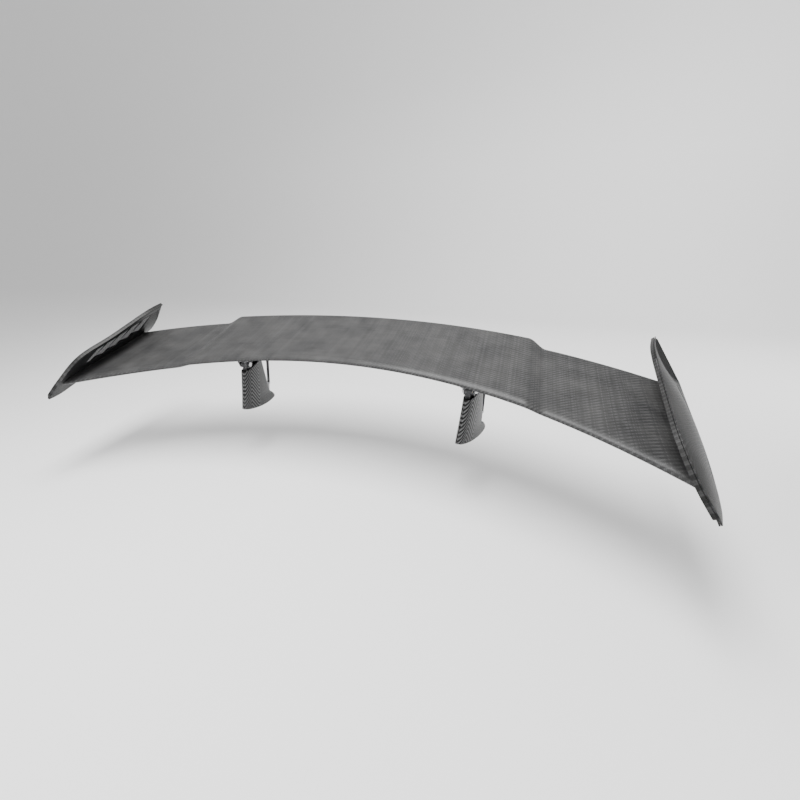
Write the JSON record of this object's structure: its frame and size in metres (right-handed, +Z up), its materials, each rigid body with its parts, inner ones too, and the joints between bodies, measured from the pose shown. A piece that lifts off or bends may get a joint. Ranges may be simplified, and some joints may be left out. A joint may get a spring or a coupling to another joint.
{
  "type": "racing rear wing",
  "caption": "Bowed carbon racing rear wing with louvred canted end plates, tilting on raked strut posts by telescopic rams.",
  "frame": {"origin": "midway between the strut feet, on the underside of the foot pads", "axes": "+X along the span, +Y rearward, +Z up"},
  "size_m": [1.7634, 0.6075, 0.3498],
  "materials": {
    "carbon_weave": "satin-gloss woven carbon",
    "carbon_inner": "dry woven carbon",
    "alloy": "machined",
    "dark_alloy": "hard anodised",
    "steel": "brushed",
    "bronze": "machined",
    "rubber": "matt"
  },
  "bodies": {
    "struts": {"strut_fairing_right": "carbon_weave", "strut_fairing_left": "carbon_weave", "strut_post_right": "dark_alloy", "strut_post_left": "dark_alloy", "foot_gasket_right": "rubber", "foot_gasket_left": "rubber", "foot_insert_front_right": "steel", "foot_insert_front_left": "steel", "foot_insert_rear_right": "steel", "foot_insert_rear_left": "steel", "pivot_bush_right": "bronze", "pivot_bush_left": "bronze", "ram_foot_pin_right": "steel", "ram_foot_pin_left": "steel"},
    "wing": {"blade_upper_skin": "carbon_weave", "blade_lower_skin": "carbon_weave", "front_spar": "carbon_inner", "rear_spar": "carbon_inner", "end_rib_right": "carbon_inner", "end_rib_left": "carbon_inner", "endplate_inner_right": "carbon_weave", "endplate_inner_left": "carbon_weave", "endplate_outer_right": "carbon_weave", "endplate_outer_left": "carbon_weave", "louvre_1_right": "carbon_weave", "louvre_1_left": "carbon_weave", "louvre_2_right": "carbon_weave", "louvre_2_left": "carbon_weave", "louvre_3_right": "carbon_weave", "louvre_3_left": "carbon_weave", "louvre_4_right": "carbon_weave", "louvre_4_left": "carbon_weave", "louvre_5_right": "carbon_weave", "louvre_5_left": "carbon_weave", "clevis_right": "alloy", "clevis_left": "alloy", "ram_bracket_right": "alloy", "ram_bracket_left": "alloy", "pivot_pin_right": "steel", "pivot_pin_left": "steel", "pivot_nut_right": "steel", "pivot_nut_left": "steel", "ram_top_pin_right": "steel", "ram_top_pin_left": "steel"},
    "ram_rod_r": {"ram_rod_right": "steel"},
    "ram_rod_l": {"ram_rod_left": "steel"},
    "ram_barrel_r": {"ram_cylinder_right": "dark_alloy", "ram_gland_right": "alloy"},
    "ram_barrel_l": {"ram_cylinder_left": "dark_alloy", "ram_gland_left": "alloy"}
  },
  "joints": [
    {"name": "wing_tilt", "type": "hinge", "parent": "struts", "child": "wing", "pos_m": [0, -0.047, 0.172], "axis": [1, 0, 0], "range_deg": [-6, 12]},
    {"name": "ram_right_swing", "type": "hinge", "parent": "struts", "child": "ram_rod_r", "pos_m": [0.4075, 0.082, 0.004], "axis": [1, 0, 0], "range_deg": [-2.64, 4.98]},
    {"name": "ram_right_stroke", "type": "slide", "parent": "ram_rod_r", "child": "ram_barrel_r", "axis": [0, 0.1521, 0.9884], "range_m": [-0.01621, 0.03191]},
    {"name": "ram_left_swing", "type": "hinge", "parent": "struts", "child": "ram_rod_l", "pos_m": [-0.4075, 0.082, 0.004], "axis": [1, 0, 0], "range_deg": [-2.64, 4.98]},
    {"name": "ram_left_stroke", "type": "slide", "parent": "ram_rod_l", "child": "ram_barrel_l", "axis": [0, 0.1521, 0.9884], "range_m": [-0.01621, 0.03191]}
  ],
  "couplings": [
    {"joint": "ram_right_swing", "follows": "wing_tilt", "ratio": 0.39009},
    {"joint": "ram_right_stroke", "follows": "wing_tilt", "m_per_rad": 0.14998},
    {"joint": "ram_left_swing", "follows": "wing_tilt", "ratio": 0.39009},
    {"joint": "ram_left_stroke", "follows": "wing_tilt", "m_per_rad": 0.14998}
  ]
}
